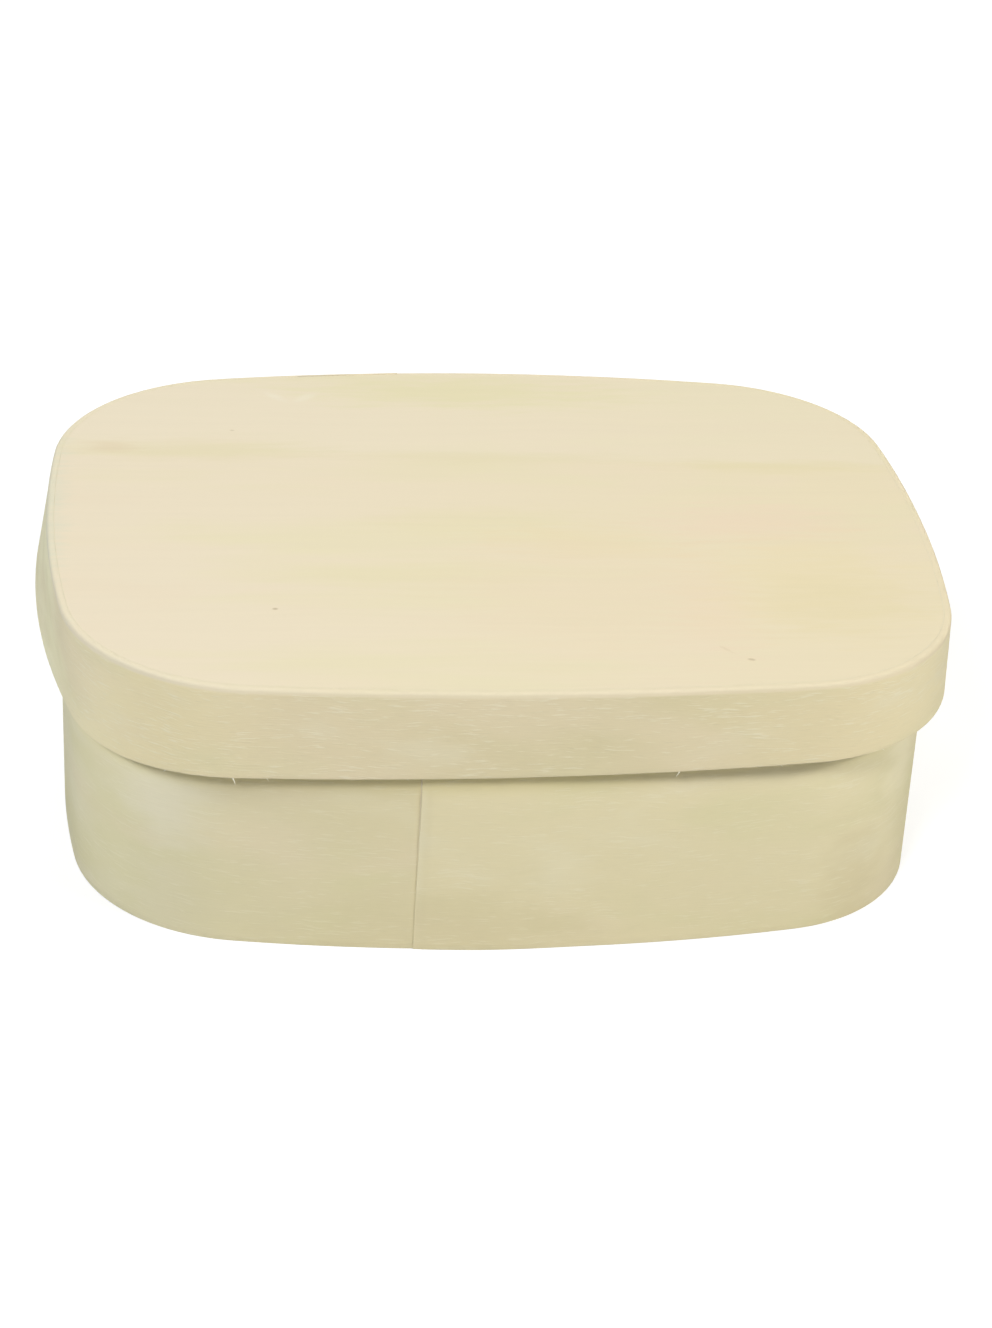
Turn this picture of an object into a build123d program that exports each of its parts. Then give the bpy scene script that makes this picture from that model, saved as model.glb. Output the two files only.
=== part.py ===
from build123d import *
from math import cos, degrees, radians, sin
import os

# A bentwood box with a lift-off lid. Each half is a thin strip of poplar bent round a flat wooden
# disc and glued to its edge, and the two ends of each strip are shaved and glued over each other.
# The long side lies along X, the front faces -Y, the underside is at Z zero, and the origin is
# below the middle of the box.

# Outside of the closed box, over the lid
box_length = 165.0
box_width = 131.6
box_height = 53.0

# The lid's strip: its height at the two ends of the box, where its lower edge is cut a little
# askew, and how far its wall leans outwards over that height
lid_band_height_left = 18.0
lid_band_height_right = 14.7
lid_lean_left = 2.9
lid_lean_right = 0.45

# How far each side of the base's strip lies inside the lid's, outside to outside at the lid's top
base_inset_right = 2.85
base_inset_back = 2.85
base_inset_left = 2.4
base_inset_front = 3.25

# Wood and glue
veneer_thickness = 1.3
lid_disc_thickness = 3.0
base_disc_thickness = 3.0
glue_film = 0.1

# Each side is slightly crowned. These are the radii on the outside of the lid at its top
lid_right_crown = 301.0
lid_back_crown = 324.0
lid_left_crown = 266.0
lid_front_crown = 515.0

# The left wall's crest lies behind the middle, and it turns into a tighter curve further down
lid_left_crest = 9.4
skirt_left_crest = 16.8
skirt_left_crown = 196.5

# The base's crowns. The crest of its front lies a little left of the middle
base_right_crown = 298.0
base_back_crown = 321.0
base_left_crown = 187.5
base_front_crown = 294.5
base_front_crest = -1.5

# The rounded corners of the lid at its top, the two that change further down, and the base's
lid_back_right_corner = 33.5
lid_back_left_corner = 36.9
lid_front_left_corner = 36.0
lid_front_right_corner = 31.8
skirt_back_left_corner = 41.9
skirt_front_left_corner = 32.7
base_back_right_corner = 30.6
base_back_left_corner = 34.0
base_front_left_corner = 33.7
base_front_right_corner = 30.4

# Lap of the base's strip on the front: where its visible end lies, how far the two shaved ends
# overlap, how thick they are at their tips, and how far the strip runs on before it is on track
base_seam_x = -14.9
base_lap_length = 11.5
base_settling_length = 20.0
shaved_tip = 0.3

# Lap of the lid's strip on the back, flush on both sides: where it starts, and how long it is
lid_seam_x = -12.0
lid_lap_length = 20.0

# Depth below the lid's top at which its lower outline is laid out
skirt_depth = 20.0

# How far a cut runs past what it cuts
overrun = 1.0

# Which way each side looks, in degrees from +X
facing_right = 0
facing_back = 90
facing_left = 180
facing_front = 270

# How far the sides of the lid are from the origin, at its top and at the depth of the skirt
lid_right_reach = box_length / 2 - lid_lean_right
lid_left_reach = box_length / 2 - lid_lean_left
skirt_right_reach = lid_right_reach + lid_lean_right * skirt_depth / lid_band_height_right
skirt_left_reach = lid_left_reach + lid_lean_left * skirt_depth / lid_band_height_left
lid_side_reach = box_width / 2
base_band_height = box_height - lid_disc_thickness

os.makedirs("parts", exist_ok=True)


class Side:
    """One crowned side of a bending form, an arc that bulges outwards."""

    def __init__(self, facing, reach, crown, crest=0):
        # reach is how far the crest is from the origin, and crest where it lies along the side
        turn = radians(facing)
        self.facing = facing
        self.crown = crown
        self.centre = Vector(cos(turn), sin(turn)) * (reach - crown)
        self.centre += Vector(abs(sin(turn)), abs(cos(turn))) * crest

    def point(self, inset, along):
        """Place at a depth under the outside, and at a distance along the side from its crest."""
        turn = radians(self.facing) + along / self.crown
        return self.centre + Vector(cos(turn), sin(turn)) * (self.crown - inset)

    def way(self, along):
        """Direction along the side."""
        turn = radians(self.facing) + along / self.crown
        return Vector(-sin(turn), cos(turn))

    def arc(self, inset, start, end):
        """Arc at a depth under the outside, between two places along the side."""
        start_angle = self.facing + degrees(start / self.crown)
        return CenterArc(self.centre, self.crown - inset, start_angle, degrees((end - start) / self.crown))


class Form:
    """Plan of the outside of a bent strip: four crowned sides that meet in four round corners."""

    def __init__(self, right, back, left, front, corners):
        self.right = right
        self.back = back
        self.left = left
        self.front = front
        self.corners = corners

    def outline(self, inset):
        """The plan, drawn in by an inset."""
        ends = [
            (box_length, box_width),
            (-box_length, box_width),
            (-box_length, -box_width),
            (box_length, -box_width),
        ]
        with BuildSketch() as plan:
            with Locations(Location(self.right.centre, facing_left)):
                Circle(self.right.crown - inset)
            for side in (self.back, self.left, self.front):
                with Locations(side.centre):
                    Circle(side.crown - inset, mode=Mode.INTERSECT)
            for end, radius in zip(ends, self.corners):
                fillet(plan.vertices().sort_by_distance(end)[0], radius - inset)
        return plan.sketch


lid_form = Form(
    Side(facing_right, lid_right_reach, lid_right_crown),
    Side(facing_back, lid_side_reach, lid_back_crown),
    Side(facing_left, lid_left_reach, lid_left_crown, lid_left_crest),
    Side(facing_front, lid_side_reach, lid_front_crown),
    (lid_back_right_corner, lid_back_left_corner, lid_front_left_corner, lid_front_right_corner),
)
skirt_form = Form(
    Side(facing_right, skirt_right_reach, lid_right_crown),
    lid_form.back,
    Side(facing_left, skirt_left_reach, skirt_left_crown, skirt_left_crest),
    lid_form.front,
    (lid_back_right_corner, skirt_back_left_corner, skirt_front_left_corner, lid_front_right_corner),
)
base_form = Form(
    Side(facing_right, lid_right_reach - base_inset_right, base_right_crown),
    Side(facing_back, lid_side_reach - base_inset_back, base_back_crown),
    Side(facing_left, lid_left_reach - base_inset_left, base_left_crown),
    Side(facing_front, lid_side_reach - base_inset_front, base_front_crown, base_front_crest),
    (base_back_right_corner, base_back_left_corner, base_front_left_corner, base_front_right_corner),
)

# Places along the base's front: the visible end of the strip, the hidden one's tip, and the place
# where the strip is back on its track
base_seam = base_seam_x - base_front_crest
base_tip = base_seam + base_lap_length
base_settled = base_tip + base_settling_length

# Depths under the base's outside. The outer layer stands proud by its tip and the glue
lap_proud = -shaved_tip - glue_film
tip_depth = veneer_thickness - shaved_tip
outer_tip_depth = tip_depth - glue_film


def settling_curve(inset):
    """A face of the base's strip from its place over the hidden tip down to a depth on the track."""
    front = base_form.front
    ends = (front.point(inset + lap_proud, base_tip), front.point(inset, base_settled))
    return Spline(ends, tangents=(front.way(base_tip), front.way(base_settled)))


def base_strip_plan():
    """Plan of the base's strip: its single track, its shaved inner end and its outer end over it."""
    front = base_form.front
    with BuildSketch() as plan:
        add(base_form.outline(0))
        add(base_form.outline(veneer_thickness), mode=Mode.SUBTRACT)
        # The stretch of the lap is taken out of the ring
        with BuildLine():
            Polyline(
                front.point(veneer_thickness + overrun, base_seam),
                front.point(-overrun, base_seam),
                front.point(-overrun, base_settled),
                front.point(veneer_thickness + overrun, base_settled),
                close=True,
            )
        make_face(mode=Mode.SUBTRACT)
        # The inner end, shaved on its outside to a tip
        with BuildLine():
            front.arc(veneer_thickness, base_seam, base_tip)
            Line(front.point(veneer_thickness, base_tip), front.point(tip_depth, base_tip))
            Line(front.point(tip_depth, base_tip), front.point(0, base_seam))
            Line(front.point(0, base_seam), front.point(veneer_thickness, base_seam))
        make_face()
        # The outer end, shaved on its inside, and the stretch that settles on the track
        with BuildLine():
            front.arc(lap_proud, base_seam, base_tip)
            settling_curve(0)
            Line(front.point(0, base_settled), front.point(veneer_thickness, base_settled))
            settling_curve(veneer_thickness)
            Line(front.point(outer_tip_depth, base_tip), front.point(-glue_film, base_seam))
            Line(front.point(-glue_film, base_seam), front.point(lap_proud, base_seam))
        make_face()
    return plan.sketch


def base_lap_glue_plan():
    """Plan of the glue film between the two shaved ends of the base's strip."""
    front = base_form.front
    with BuildSketch() as plan:
        with BuildLine():
            Polyline(
                front.point(0, base_seam),
                front.point(-glue_film, base_seam),
                front.point(outer_tip_depth, base_tip),
                front.point(tip_depth, base_tip),
                close=True,
            )
        make_face()
    return plan.sketch


def lid_lap_plan():
    """Plan of the film that runs aslant through the lid's strip, from its outside to its inside."""
    back = lid_form.back
    start = -lid_seam_x
    end = start + lid_lap_length
    with BuildSketch() as plan:
        with BuildLine():
            Polyline(
                back.point(-overrun, start),
                back.point(shaved_tip, start),
                back.point(outer_tip_depth, end + glue_film),
                back.point(veneer_thickness + overrun, end + glue_film),
                back.point(veneer_thickness + overrun, end),
                back.point(tip_depth, end),
                back.point(shaved_tip + glue_film, start - glue_film),
                back.point(-overrun, start - glue_film),
                close=True,
            )
        make_face()
    return plan.sketch


# The lid's lower edge lies in a plane that rises from the left end to the right one
lid_edge_left = box_height - lid_band_height_left
lid_edge_right = box_height - lid_band_height_right
lid_edge = Plane(
    origin=(0, 0, (lid_edge_left + lid_edge_right) / 2),
    x_dir=(box_length, 0, lid_edge_right - lid_edge_left),
    z_dir=(lid_edge_left - lid_edge_right, 0, box_length),
)

# The planes of the lid's top, of its laid-out skirt and of the underside of its disc
lid_top = Plane.XY.offset(box_height)
lid_skirt = Plane.XY.offset(box_height - skirt_depth)
lid_underside = Plane.XY.offset(base_band_height)

# Bottom of the box: a flat disc, level with the lower edge of its strip
with BuildPart() as base_disc:
    with BuildSketch():
        add(base_form.outline(veneer_thickness + glue_film))
    extrude(amount=base_disc_thickness)

with BuildPart() as base_disc_glue:
    with BuildSketch():
        add(base_form.outline(veneer_thickness))
        add(base_form.outline(veneer_thickness + glue_film), mode=Mode.SUBTRACT)
    extrude(amount=base_disc_thickness)

# Wall of the box: one strip, whose upper edge carries the lid
with BuildPart() as base_band:
    with BuildSketch():
        add(base_strip_plan())
    extrude(amount=base_band_height)

with BuildPart() as base_lap_glue:
    with BuildSketch():
        add(base_lap_glue_plan())
    extrude(amount=base_band_height)

# Top of the lid: a flat disc, level with the upper edge of its strip
with BuildPart() as lid_disc:
    with BuildSketch(lid_top):
        add(lid_form.outline(veneer_thickness + glue_film))
    with BuildSketch(lid_skirt):
        add(skirt_form.outline(veneer_thickness + glue_film))
    loft(ruled=True)
    split(bisect_by=lid_underside, keep=Keep.TOP)

with BuildPart() as lid_disc_glue:
    with BuildSketch(lid_top):
        add(lid_form.outline(veneer_thickness))
    with BuildSketch(lid_skirt):
        add(skirt_form.outline(veneer_thickness))
    loft(ruled=True)
    split(bisect_by=lid_underside, keep=Keep.TOP)
    add(lid_disc.part, mode=Mode.SUBTRACT)

# Rim of the lid: one strip that reaches down over the base, cut askew along its lower edge
with BuildPart() as lid_band:
    with BuildSketch(lid_top):
        add(lid_form.outline(0))
    with BuildSketch(lid_skirt):
        add(skirt_form.outline(0))
    loft(ruled=True)
    with BuildSketch(lid_top):
        add(lid_form.outline(veneer_thickness))
    with BuildSketch(lid_skirt):
        add(skirt_form.outline(veneer_thickness))
    loft(ruled=True, mode=Mode.SUBTRACT)
    split(bisect_by=lid_edge, keep=Keep.TOP)
    lid_ring = lid_band.part
    with BuildSketch(lid_top):
        add(lid_lap_plan())
    extrude(amount=-skirt_depth, mode=Mode.SUBTRACT)

with BuildPart() as lid_lap_glue:
    with BuildSketch(lid_top):
        add(lid_lap_plan())
    extrude(amount=-skirt_depth)
    add(lid_ring, mode=Mode.INTERSECT)

# Each piece is written as a file of its own
base_disc.part.label = "base_disc"
base_disc_glue.part.label = "base_disc_glue"
base_band.part.label = "base_band"
base_lap_glue.part.label = "base_lap_glue"
lid_disc.part.label = "lid_disc"
lid_disc_glue.part.label = "lid_disc_glue"
lid_band.part.label = "lid_band"
lid_lap_glue.part.label = "lid_lap_glue"

export_step(base_disc.part, "parts/base_disc.step")
export_step(base_disc_glue.part, "parts/base_disc_glue.step")
export_step(base_band.part, "parts/base_band.step")
export_step(base_lap_glue.part, "parts/base_lap_glue.step")
export_step(lid_disc.part, "parts/lid_disc.step")
export_step(lid_disc_glue.part, "parts/lid_disc_glue.step")
export_step(lid_band.part, "parts/lid_band.step")
export_step(lid_lap_glue.part, "parts/lid_lap_glue.step")
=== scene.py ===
import math

import bpy
from mathutils import Matrix, Vector, noise


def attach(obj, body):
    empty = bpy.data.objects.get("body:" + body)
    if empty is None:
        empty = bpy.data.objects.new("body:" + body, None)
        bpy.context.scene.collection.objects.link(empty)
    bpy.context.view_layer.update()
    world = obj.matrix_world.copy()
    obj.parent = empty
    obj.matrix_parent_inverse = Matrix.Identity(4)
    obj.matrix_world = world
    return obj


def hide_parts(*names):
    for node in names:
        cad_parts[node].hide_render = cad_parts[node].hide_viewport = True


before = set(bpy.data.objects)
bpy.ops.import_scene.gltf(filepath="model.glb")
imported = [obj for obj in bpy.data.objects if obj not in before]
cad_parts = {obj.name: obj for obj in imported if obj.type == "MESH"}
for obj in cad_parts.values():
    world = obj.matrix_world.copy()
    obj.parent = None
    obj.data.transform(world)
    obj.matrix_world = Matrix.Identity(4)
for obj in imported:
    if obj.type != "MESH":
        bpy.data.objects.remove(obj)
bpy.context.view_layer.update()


# Bottom of the box
# A flat board of poplar, 3 mm thick, cut to the plan of the bent strip less the strip's own
# thickness and the glue. Its grain runs from left to right, and it is sanded on both faces.

# Boards and strips are laid out flat here, in millimetres, and nodes bend them round their form.
mm = 0.001
veneer_thickness = 1.3
glue_film = 0.1
board_inset = veneer_thickness + glue_film
board_thickness = 3.0


def bending_form(sides, corners):
    """The eight arcs of a strip's outside, anticlockwise from the right side.

    Each side is (reach from the origin, crown radius, place of its crest along it), and each arc
    (centre, radius, first angle, last angle)."""
    hubs = []
    for number, (reach, crown, crest) in enumerate(sides):
        facing = math.radians(90 * number)
        outwards = Vector((math.cos(facing), math.sin(facing)))
        hubs.append(outwards * (reach - crown) + Vector((abs(outwards.y), abs(outwards.x))) * crest)
    joints = []
    for number, radius in enumerate(corners):
        here, there = hubs[number], hubs[(number + 1) % 4]
        near = sides[number][1] - radius
        far = sides[(number + 1) % 4][1] - radius
        apart = (there - here).length
        ahead = (there - here) / apart
        middle = (near ** 2 - far ** 2 + apart ** 2) / (2 * apart)
        aside = math.sqrt(near ** 2 - middle ** 2)
        facing = math.radians(45 + 90 * number)
        corner = Vector((math.cos(facing), math.sin(facing)))
        across = Vector((-ahead.y, ahead.x))
        places = [here + ahead * middle + across * aside * way for way in (1, -1)]
        joints.append(max(places, key=lambda place: place.dot(corner)))
    arcs = []
    for number in range(4):
        here, there = hubs[number], hubs[(number + 1) % 4]
        before, after = joints[number - 1] - here, joints[number] - here
        first, last = math.atan2(before.y, before.x), math.atan2(after.y, after.x)
        arcs.append((here, sides[number][1], first, first + (last - first) % math.tau))
        onward = joints[number] - there
        turned = math.atan2(onward.y, onward.x)
        arcs.append((joints[number], corners[number], last, last + (turned - last) % math.tau))
    return arcs


def on_form(arcs, number, share, depth):
    """Place in the plan at a share of one arc, at a depth under the outside."""
    centre, radius, first, last = arcs[number]
    angle = first + (last - first) * share
    return centre + Vector((math.cos(angle), math.sin(angle))) * (radius - depth)


def stations(arcs, spacing):
    """Evenly spaced places round the form: (length so far, arc number, share of that arc)."""
    found = []
    so_far = 0.0
    for number, (centre, radius, first, last) in enumerate(arcs):
        length = radius * (last - first)
        steps = max(2, round(length / spacing))
        for step in range(steps):
            found.append((so_far + length * step / steps, number, step / steps))
        so_far += length
    return found, so_far


def put(tree, socket, value):
    """Link a socket to an output, or give it a plain value."""
    if isinstance(value, bpy.types.NodeSocket):
        tree.links.new(value, socket)
    elif value is not None:
        socket.default_value = value


def node(tree, kind, settings=None, **values):
    """A node of a kind, with its settings made and its sockets filled or linked by name."""
    made = tree.nodes.new(kind)
    for key, value in (settings or {}).items():
        setattr(made, key, value)
    for key, value in values.items():
        put(tree, made.inputs[key.replace("_", " ")], value)
    return made


def reckon(tree, operation, *values):
    """The outcome of one sum in a material."""
    made = node(tree, "ShaderNodeMath", {"operation": operation})
    for socket, value in zip(made.inputs, values):
        put(tree, socket, value)
    return made.outputs[0]


def shift(tree, operation, first, second):
    """The outcome of one sum on places."""
    made = node(tree, "ShaderNodeVectorMath", {"operation": operation})
    put(tree, made.inputs[0], first)
    put(tree, made.inputs["Scale"] if operation == "SCALE" else made.inputs[1], second)
    return made.outputs["Value" if operation == "LENGTH" else "Vector"]


def in_scene(name, data):
    """A new object in the scene, at the origin."""
    made = bpy.data.objects.new(name, data)
    bpy.context.scene.collection.objects.link(made)
    return made


def form_line(name, high_arcs, low_arcs):
    """A closed line round the upper form, which knows for each of its points the place on the
    lower form and where outwards is on both."""
    places = [place[1:] for place in stations(high_arcs, 0.25)[0]]

    def outside(arcs):
        return [on_form(arcs, *place, 0) for place in places]

    def outwards(arcs):
        return [edge - on_form(arcs, *place, 1) for edge, place in zip(outside(arcs), places)]

    mesh = bpy.data.meshes.new(name)
    mesh.from_pydata(
        [(*(place * mm), 0) for place in outside(high_arcs)],
        [(step, (step + 1) % len(places)) for step in range(len(places))], [],
    )
    for label, vectors, size in (
        ("outward", outwards(high_arcs), 1.0),
        ("below", outside(low_arcs), mm),
        ("outward_below", outwards(low_arcs), 1.0),
    ):
        values = [part for vector in vectors for part in (vector.x * size, vector.y * size, 0)]
        mesh.attributes.new(label, "FLOAT_VECTOR", "POINT").data.foreach_set("vector", values)
    return in_scene(name, mesh)


def new_tree(name, result, inputs):
    """An empty Geometry Nodes tree with named inputs, and the sockets that give their values."""
    group = bpy.data.node_groups.new(name, "GeometryNodeTree")
    for label, kind in inputs:
        group.interface.new_socket(label, in_out="INPUT", socket_type="NodeSocket" + kind)
    group.interface.new_socket(result, in_out="OUTPUT", socket_type="NodeSocketGeometry")
    return group, group.nodes.new("NodeGroupInput").outputs


def end_tree(group, shape, finish, smooth=False):
    """The end of a tree: real geometry in its material."""
    shape = node(group, "GeometryNodeRealizeInstances", None, Geometry=shape).outputs["Geometry"]
    if smooth:
        shape = node(group, "GeometryNodeSetShadeSmooth", None, Geometry=shape).outputs["Geometry"]
    done = node(group, "GeometryNodeSetMaterial", None, Geometry=shape, Material=finish)
    result = group.nodes.new("NodeGroupOutput")
    group.links.new(done.outputs["Geometry"], result.inputs[0])


def round_the_form():
    """Nodes that bend a flat piece round a form.

    The piece's x runs along the form from Start, its y is the depth under the outside, and its z
    the height. At the height Top it follows the upper form, and Form depth below that the lower."""
    group, given = new_tree("round_the_form", "Bent", (
        ("Flat", "Geometry"), ("Form", "Object"), ("Start", "Float"), ("Top", "Float"),
        ("Form depth", "Float"), ("Finish", "Material"),
    ))
    outline = node(group, "GeometryNodeObjectInfo", None, Object=given["Form"]).outputs["Geometry"]
    outline = node(group, "GeometryNodeMeshToCurve", None, Mesh=outline).outputs["Curve"]
    around = node(group, "GeometryNodeCurveLength", None, Curve=outline).outputs["Length"]
    flat = node(group, "GeometryNodeInputPosition").outputs["Position"]
    along, depth, height = node(group, "ShaderNodeSeparateXYZ", None, Vector=flat).outputs
    along = reckon(group, "FLOORED_MODULO", reckon(group, "ADD", along, given["Start"]), around)

    def on_line(label):
        known = node(
            group, "GeometryNodeInputNamedAttribute", {"data_type": "FLOAT_VECTOR"}, Name=label,
        ).outputs["Attribute"]
        return node(
            group, "GeometryNodeSampleCurve", {"mode": "LENGTH", "data_type": "FLOAT_VECTOR"},
            Curves=outline, Value=known, Length=along,
        ).outputs

    above, below, below_out = on_line("outward"), on_line("below"), on_line("outward_below")
    high = shift(group, "SUBTRACT", above["Position"], shift(group, "SCALE", above["Value"], depth))
    low = shift(group, "SUBTRACT", below["Value"], shift(group, "SCALE", below_out["Value"], depth))
    down = reckon(group, "SUBTRACT", given["Top"], height)
    share = reckon(group, "DIVIDE", down, given["Form depth"])
    leaning = shift(group, "SCALE", shift(group, "SUBTRACT", low, high), share)
    place = shift(group, "ADD", high, leaning)
    level = node(group, "ShaderNodeCombineXYZ", None, Z=height).outputs[0]
    place = shift(group, "ADD", place, level)
    bent = node(
        group, "GeometryNodeSetPosition", None, Geometry=given["Flat"], Position=place,
    ).outputs["Geometry"]
    end_tree(group, bent, given["Finish"])
    return group


def shape_by(group, piece, values):
    """Let nodes shape a piece, with their inputs' values by name, and keep it as a plain mesh."""
    shaper = piece.modifiers.new(group.name, "NODES")
    shaper.node_group = group
    for socket in group.interface.items_tree:
        if socket.in_out == "INPUT" and socket.name in values:
            shaper[socket.identifier] = values[socket.name]
    flat = piece.data
    shaped = piece.evaluated_get(bpy.context.evaluated_depsgraph_get())
    piece.data = bpy.data.meshes.new_from_object(shaped)
    piece.modifiers.remove(shaper)
    bpy.data.meshes.remove(flat)
    piece.data.name = piece.name
    if piece.data.materials[0] is None:
        piece.data.materials.pop(index=0)


def as_mesh(name, points, faces, flat_faces=()):
    """A mesh object from places in millimetres, shaded smooth but for the faces listed as flat."""
    mesh = bpy.data.meshes.new(name)
    mesh.from_pydata([(x * mm, y * mm, z * mm) for x, y, z in points], [], faces)
    flat = set(flat_faces)
    for face in mesh.polygons:
        face.use_smooth = face.index not in flat
    return in_scene(name, mesh)


def board(name, arcs, inset, low, high, worn):
    """A board laid flat, its edge as long as a form, and its two corners eased by a radius."""
    lengths = [place[0] for place in stations(arcs, 1.2)[0]]
    turns = [math.radians(22.5 * step) for step in range(5)]
    eased_off = [(worn * (1 - math.sin(turn)), worn * (1 - math.cos(turn))) for turn in turns]
    profile = [(depth, low + rise) for depth, rise in eased_off]
    profile += [(depth, high - rise) for depth, rise in reversed(eased_off)]
    points = [(length, inset + depth, height) for depth, height in profile for length in lengths]
    count = len(lengths)
    last = (len(profile) - 1) * count
    faces = []
    for ring in range(0, last, count):
        for step in range(count):
            onward = (step + 1) % count
            faces.append((ring + step, ring + onward, ring + count + onward, ring + count + step))
    faces.append(tuple(reversed(range(count))))
    faces.append(tuple(last + step for step in range(count)))
    return as_mesh(name, points, faces, (len(faces) - 2, len(faces) - 1))


def colour(red, green, blue):
    """A colour as light, from its values of 0 to 255 on a screen."""
    light = []
    for value in (red, green, blue):
        share = value / 255
        light.append(share / 12.92 if share <= 0.04045 else ((share + 0.055) / 1.055) ** 2.4)
    return (*light, 1.0)


def blended(tree, share, first, second):
    """A colour between two others."""
    made = node(tree, "ShaderNodeMix", {"data_type": "RGBA"})
    sockets = {socket.identifier: socket for socket in made.inputs}
    for key, value in (("Factor_Float", share), ("A_Color", first), ("B_Color", second)):
        put(tree, sockets[key], value)
    return next(socket for socket in made.outputs if socket.identifier == "Result_Color")


def between(tree, value, low, high):
    """How far a value is on its way from low to high, 0 to 1, eased at both ends."""
    return node(
        tree, "ShaderNodeMapRange", {"interpolation_type": "SMOOTHSTEP"},
        Value=value, From_Min=low, From_Max=high,
    ).outputs["Result"]


def patches(tree, where, size, detail=3.0, seed=0.0, roughness=0.5):
    """Soft patches, 0 to 1, of a size in millimetres along the grain, across it and through it."""
    stretched = shift(tree, "MULTIPLY", where, tuple(1000 / extent for extent in size))
    moved = shift(tree, "ADD", stretched, (seed * 3.7, seed * 7.1, seed * 1.3))
    return node(
        tree, "ShaderNodeTexNoise", None,
        Vector=moved, Scale=1.0, Detail=detail, Roughness=roughness,
    ).outputs["Fac"]


def wavy(tree, where, drift, height):
    """Places moved across the grain by a drift, so that straight grain wanders by a height."""
    aside = reckon(tree, "MULTIPLY", reckon(tree, "SUBTRACT", drift, 0.5), height * mm)
    bend = node(tree, "ShaderNodeCombineXYZ", None, Y=aside)
    return shift(tree, "ADD", where, bend.outputs[0])


def laid_over(tree, tint, hue, cover, share):
    """A tint with another hue laid over it where a cover is 1, by a share."""
    return blended(tree, reckon(tree, "MULTIPLY", cover, share), tint, hue)


def mark(tree, where, middle, reach, turn, ragged):
    """An oval mark with ragged edges, 1 in its middle and fading to 0 at its reach, turned by
    degrees. Its sizes are in millimetres."""
    moved = shift(tree, "SUBTRACT", where, (middle[0] * mm, middle[1] * mm, 0))
    turned = node(
        tree, "ShaderNodeVectorRotate", {"rotation_type": "Z_AXIS"},
        Vector=moved, Angle=-math.radians(turn),
    ).outputs[0]
    flat = shift(tree, "MULTIPLY", turned, (1000 / reach[0], 1000 / reach[1], 0))
    far = reckon(tree, "MULTIPLY_ADD", ragged, 1.3, shift(tree, "LENGTH", flat, None))
    return between(tree, far, 1.65, 0.75)


def finish_of(name):
    """A new material and its tree, still empty."""
    finish = bpy.data.materials.new(name)
    finish.use_nodes = True
    finish.node_tree.nodes.clear()
    return finish, finish.node_tree


def surface(tree, tint, dullness, relief, height):
    """The wood's surface: its colour, its dullness, and its relief of a height in millimetres."""
    bump = node(tree, "ShaderNodeBump", None, Strength=1.0, Distance=height * mm, Height=relief)
    wood = node(
        tree, "ShaderNodeBsdfPrincipled", None,
        Base_Color=tint, Roughness=dullness, Specular_IOR_Level=0.25, Normal=bump.outputs["Normal"],
    )
    node(tree, "ShaderNodeOutputMaterial", None, Surface=wood.outputs["BSDF"])


def sanded(tree, left, right, yellow, blush, seed, marks=(), whiter=None):
    """Colour and relief of sanded poplar, with straight grain from left to right, and its hairs.

    left and right are its tints at its two ends, and yellow and blush those of its soft clouds.
    marks are (middle, reach, turn, colour, share) and whiter is a paler zone behind a slanting
    line, as (place of the line at the middle, its slope, colour, share)."""
    where = node(tree, "ShaderNodeTexCoord").outputs["Object"]
    drift = patches(tree, where, (45, 22, 40), 2.0, seed + 6)
    grain = wavy(tree, where, drift, 5)
    wander = patches(tree, grain, (70, 12, 30), 3.0, seed)
    hairs = patches(tree, grain, (12, 0.30, 6), 3.0, seed + 1, 0.6)
    bands = patches(tree, grain, (130, 2.4, 30), 4.0, seed + 2, 0.6)
    blot = patches(tree, grain, (30, 16, 30), 3.0, seed + 3)
    across = node(tree, "ShaderNodeSeparateXYZ", None, Vector=where).outputs["X"]
    tint = blended(tree, between(tree, across, -0.09, 0.09), left, right)
    tint = laid_over(tree, tint, yellow, between(tree, wander, 0.45, 0.7), 0.8)
    tint = laid_over(tree, tint, blush, between(tree, blot, 0.5, 0.72), 0.5)
    if whiter:
        level, slope, hue, share = whiter
        along = node(tree, "ShaderNodeSeparateXYZ", None, Vector=grain)
        behind = reckon(tree, "MULTIPLY_ADD", along.outputs["X"], -slope, along.outputs["Y"])
        behind = reckon(tree, "MULTIPLY_ADD", hairs, 1.2 * mm, behind)
        behind = between(tree, behind, level * mm, (level + 3.5) * mm)
        tint = laid_over(tree, tint, hue, behind, share)
    ragged = patches(tree, grain, (9, 1.6, 30), 4.0, seed + 4, 0.6)
    for middle, reach, turn, hue, share in marks:
        tint = laid_over(tree, tint, hue, mark(tree, grain, middle, reach, turn, ragged), share)
    shade = reckon(tree, "MULTIPLY_ADD", hairs, 0.035, 0.965)
    shade = reckon(tree, "MULTIPLY_ADD", bands, 0.035, shade)
    relief = reckon(tree, "MULTIPLY_ADD", hairs, 0.6, bands)
    return shift(tree, "SCALE", tint, shade), relief, hairs


def sanded_poplar(name, *look):
    """A material of sanded poplar, with a look as sanded takes it."""
    finish, tree = finish_of(name)
    tint, relief, hairs = sanded(tree, *look)
    surface(tree, tint, reckon(tree, "MULTIPLY_ADD", hairs, 0.12, 0.56), relief, 0.03)
    return finish


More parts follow.
